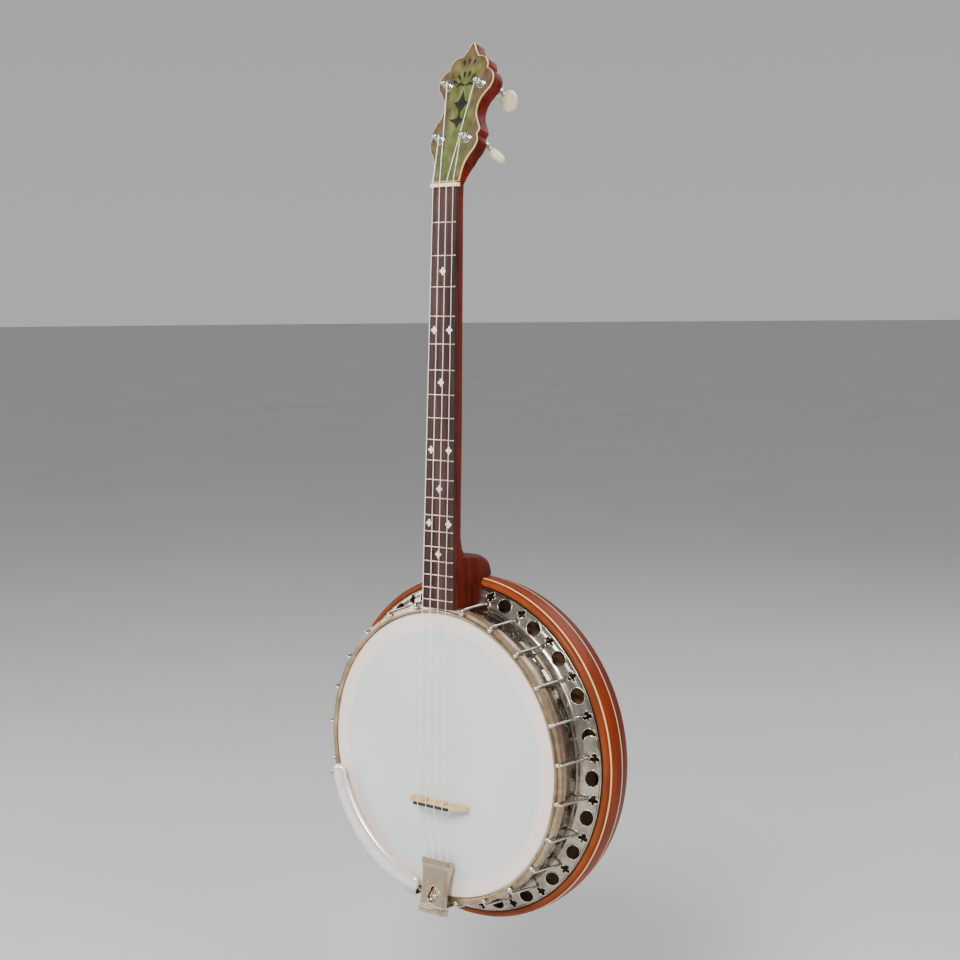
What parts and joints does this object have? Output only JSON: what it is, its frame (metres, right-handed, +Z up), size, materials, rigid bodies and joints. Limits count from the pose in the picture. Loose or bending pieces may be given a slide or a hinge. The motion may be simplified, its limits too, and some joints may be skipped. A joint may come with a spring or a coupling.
{
  "type": "tenor banjo",
  "caption": "Four-string resonator banjo with a skin head on a hooked and flanged pot, a fretted neck, geared pegs, an arched bridge, an armrest and a hinged tailpiece.",
  "frame": {"origin": "where a wall hanger holds the instrument: the middle of the neck just above the nut, under the headstock's flare", "axes": "+X to the right of someone who faces the head, +Y from the head to the resonator's back, +Z up the neck towards the headstock"},
  "size_m": [0.338, 0.1145, 0.8461],
  "materials": {
    "mahogany": "red-brown stained mahogany under gloss lacquer",
    "pearloid": "green-gold pearloid veneer, glossy",
    "rosewood": "dark oiled rosewood",
    "bone": "aged cream bone, satin",
    "string_steel": "drawn steel wire",
    "nickel": "polished nickel plate, warm with age",
    "aged_nickel": "worn nickel plate, tan and satin",
    "ivoroid": "cream ivoroid, glossy",
    "maple": "bare amber maple",
    "ebony": "polished ebony",
    "head_skin": "frosted white drum head",
    "rim_wood": "laminated maple, satin",
    "sunburst": "red-brown sunburst under gloss lacquer",
    "steel": "plain steel rod"
  },
  "bodies": {
    "banjo": {"neck": "mahogany", "headstock_overlay": "pearloid", "fingerboard": "rosewood", "nut": "bone", "string_1": "string_steel", "string_2": "string_steel", "string_3": "string_steel", "string_4": "string_steel", "tuner_housing_upper_left": "nickel", "tuner_housing_upper_right": "nickel", "tuner_housing_lower_left": "nickel", "tuner_housing_lower_right": "nickel", "head": "head_skin", "tension_hoop": "aged_nickel", "tone_ring": "nickel", "rim": "rim_wood", "flange": "nickel", "resonator": "sunburst", "coordinator_rod": "steel", "hook_01": "nickel", "hook_02": "nickel", "hook_03": "nickel", "hook_04": "nickel", "hook_05": "nickel", "hook_06": "nickel", "hook_07": "nickel", "hook_08": "nickel", "hook_09": "nickel", "hook_10": "nickel", "hook_11": "nickel", "hook_12": "nickel", "hook_13": "nickel", "hook_14": "nickel", "hook_15": "nickel", "hook_16": "nickel", "hook_17": "nickel", "hook_18": "nickel", "hook_19": "nickel", "hook_20": "nickel", "hook_21": "nickel", "hook_22": "nickel", "hook_23": "nickel", "hook_24": "nickel", "tailpiece_bracket": "nickel", "armrest": "nickel", "armrest_clamp_1": "nickel", "armrest_clamp_2": "nickel"},
    "bridge": {"bridge": "maple", "bridge_saddle": "ebony"},
    "tailpiece": {"tailpiece_base": "nickel", "tailpiece_screw": "nickel"},
    "tailpiece_cover": {"tailpiece_cover": "aged_nickel"},
    "tuner_button_upper_left": {"tuner_button_upper_left": "ivoroid"},
    "tuner_post_upper_left": {"tuner_post_upper_left": "nickel"},
    "tuner_button_upper_right": {"tuner_button_upper_right": "ivoroid"},
    "tuner_post_upper_right": {"tuner_post_upper_right": "nickel"},
    "tuner_button_lower_left": {"tuner_button_lower_left": "ivoroid"},
    "tuner_post_lower_left": {"tuner_post_lower_left": "nickel"},
    "tuner_button_lower_right": {"tuner_button_lower_right": "ivoroid"},
    "tuner_post_lower_right": {"tuner_post_lower_right": "nickel"}
  },
  "joints": [
    {"name": "tuner_button_upper_left_turn", "type": "hinge", "parent": "banjo", "child": "tuner_button_upper_left", "pos_m": [-0.02, 0.02426, 0.0749], "axis": [0, -0.95, 0.3123], "continuous": true},
    {"name": "tuner_post_upper_left_turn", "type": "hinge", "parent": "banjo", "child": "tuner_post_upper_left", "pos_m": [-0.02, 0.02426, 0.0749], "axis": [0, -0.95, 0.3123], "continuous": true},
    {"name": "tuner_button_upper_right_turn", "type": "hinge", "parent": "banjo", "child": "tuner_button_upper_right", "pos_m": [0.02, 0.02426, 0.0749], "axis": [0, -0.95, 0.3123], "continuous": true},
    {"name": "tuner_post_upper_right_turn", "type": "hinge", "parent": "banjo", "child": "tuner_post_upper_right", "pos_m": [0.02, 0.02426, 0.0749], "axis": [0, -0.95, 0.3123], "continuous": true},
    {"name": "tuner_button_lower_left_turn", "type": "hinge", "parent": "banjo", "child": "tuner_button_lower_left", "pos_m": [-0.0165, 0.00739, 0.0236], "axis": [0, -0.95, 0.3123], "continuous": true},
    {"name": "tuner_post_lower_left_turn", "type": "hinge", "parent": "banjo", "child": "tuner_post_lower_left", "pos_m": [-0.0165, 0.00739, 0.0236], "axis": [0, -0.95, 0.3123], "continuous": true},
    {"name": "tuner_button_lower_right_turn", "type": "hinge", "parent": "banjo", "child": "tuner_button_lower_right", "pos_m": [0.0165, 0.00739, 0.0236], "axis": [0, -0.95, 0.3123], "continuous": true},
    {"name": "tuner_post_lower_right_turn", "type": "hinge", "parent": "banjo", "child": "tuner_post_lower_right", "pos_m": [0.0165, 0.00739, 0.0236], "axis": [0, -0.95, 0.3123], "continuous": true},
    {"name": "tailpiece_tilt", "type": "hinge", "parent": "banjo", "child": "tailpiece", "pos_m": [0, -0.0326, -0.7106], "axis": [1, 0, 0], "range_deg": [-1.5, 4], "deforming": ["string_1", "string_2", "string_3", "string_4"]},
    {"name": "tailpiece_cover_lift", "type": "hinge", "parent": "tailpiece", "child": "tailpiece_cover", "pos_m": [0, -0.03563, -0.70719], "axis": [1, 0, 0], "range_deg": [0, 100]},
    {"name": "bridge_slide", "type": "slide", "parent": "banjo", "child": "bridge", "axis": [0, 0, 1], "range_m": [-0.002, 0.002]}
  ],
  "couplings": [
    {"joint": "tuner_post_upper_left_turn", "follows": "tuner_button_upper_left_turn", "ratio": 0.25},
    {"joint": "tuner_post_upper_right_turn", "follows": "tuner_button_upper_right_turn", "ratio": 0.25},
    {"joint": "tuner_post_lower_left_turn", "follows": "tuner_button_lower_left_turn", "ratio": 0.25},
    {"joint": "tuner_post_lower_right_turn", "follows": "tuner_button_lower_right_turn", "ratio": 0.25}
  ]
}
